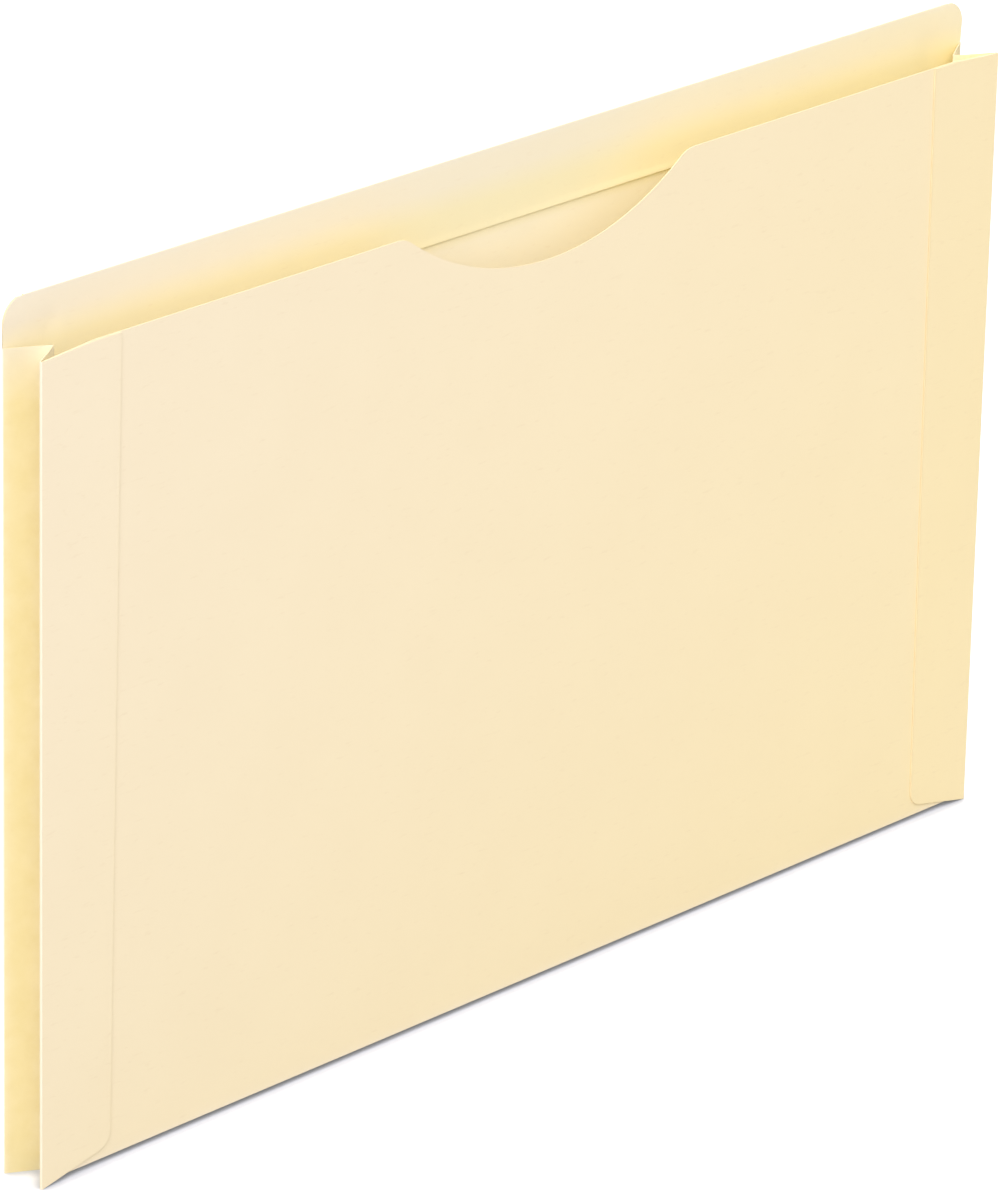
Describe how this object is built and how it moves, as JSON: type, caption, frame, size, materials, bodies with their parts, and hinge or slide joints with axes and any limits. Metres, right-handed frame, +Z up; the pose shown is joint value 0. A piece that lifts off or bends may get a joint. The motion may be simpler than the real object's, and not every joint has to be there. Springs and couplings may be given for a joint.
{
  "type": "file jacket",
  "caption": "Legal-size manila file jacket: an expanding pleated pocket with a taller back and straight tab, a lower front with a thumb cut, and outside glue flaps.",
  "frame": {"origin": "centre of the bounding box at its bottom, on the table under the middle of the jacket", "axes": "+X along the width, +Y from the front panel to the back panel, +Z up to the tab"},
  "size_m": [0.3746, 0.0144, 0.2413],
  "materials": {
    "panel_stock": "smooth matte manila stock",
    "flap_stock": "smooth matte manila stock",
    "pleat_stock": "smooth matte manila stock",
    "crease_stock": "manila stock, scored and folded",
    "glue_film": "dried paper adhesive"
  },
  "bodies": {
    "back": {"back_panel": "panel_stock", "tab_front_ply": "panel_stock", "tab_glue_film": "glue_film", "tab_top_fold": "crease_stock", "left_back_crease": "crease_stock", "right_back_crease": "crease_stock", "bottom_back_crease": "crease_stock"},
    "left_rear_pleat": {"left_rear_gusset": "pleat_stock", "left_mid_crease": "crease_stock"},
    "left_front_pleat": {"left_front_gusset": "pleat_stock"},
    "front": {"front_panel": "panel_stock", "left_glue_flap": "flap_stock", "right_glue_flap": "flap_stock", "left_flap_glue_film": "glue_film", "right_flap_glue_film": "glue_film", "left_front_crease": "crease_stock", "right_front_crease": "crease_stock", "bottom_front_crease": "crease_stock"},
    "right_rear_pleat": {"right_rear_gusset": "pleat_stock", "right_mid_crease": "crease_stock"},
    "right_front_pleat": {"right_front_gusset": "pleat_stock"},
    "bottom_rear_pleat": {"bottom_rear_strip": "pleat_stock", "bottom_mid_crease": "crease_stock"},
    "bottom_front_pleat": {"bottom_front_strip": "pleat_stock"}
  },
  "joints": [
    {"name": "left_rear_fold", "type": "hinge", "parent": "back", "child": "left_rear_pleat", "pos_m": [-0.18704, 0.00693, 0], "axis": [0, 0, -1], "range_deg": [-27.5, 57.8]},
    {"name": "left_mid_fold", "type": "hinge", "parent": "left_rear_pleat", "child": "left_front_pleat", "pos_m": [-0.17629, 0.00018, 0], "axis": [0, 0, -1], "range_deg": [-115.6, 55]},
    {"name": "left_front_fold", "type": "hinge", "parent": "left_front_pleat", "child": "front", "pos_m": [-0.18704, -0.00657, 0], "axis": [0, 0, -1], "range_deg": [-27.5, 57.8]},
    {"name": "right_rear_fold", "type": "hinge", "parent": "back", "child": "right_rear_pleat", "pos_m": [0.18704, 0.00693, 0], "axis": [0, 0, 1], "range_deg": [-27.5, 57.8]},
    {"name": "right_front_fold", "type": "hinge", "parent": "front", "child": "right_front_pleat", "pos_m": [0.18704, -0.00657, 0], "axis": [0, 0, -1], "range_deg": [-27.5, 57.8]},
    {"name": "bottom_rear_fold", "type": "hinge", "parent": "back", "child": "bottom_rear_pleat", "pos_m": [0, 0.00693, 0.00178], "axis": [1, 0, 0], "range_deg": [-27.5, 57.8]},
    {"name": "bottom_front_fold", "type": "hinge", "parent": "front", "child": "bottom_front_pleat", "pos_m": [0, -0.00657, 0.00178], "axis": [-1, 0, 0], "range_deg": [-27.5, 57.8]}
  ],
  "couplings": [
    {"joint": "left_mid_fold", "follows": "left_rear_fold", "ratio": -2},
    {"joint": "left_front_fold", "follows": "left_rear_fold", "ratio": 1},
    {"joint": "right_rear_fold", "follows": "left_rear_fold", "ratio": 1},
    {"joint": "right_front_fold", "follows": "left_rear_fold", "ratio": 1},
    {"joint": "bottom_rear_fold", "follows": "left_rear_fold", "ratio": 1},
    {"joint": "bottom_front_fold", "follows": "left_rear_fold", "ratio": 1}
  ]
}
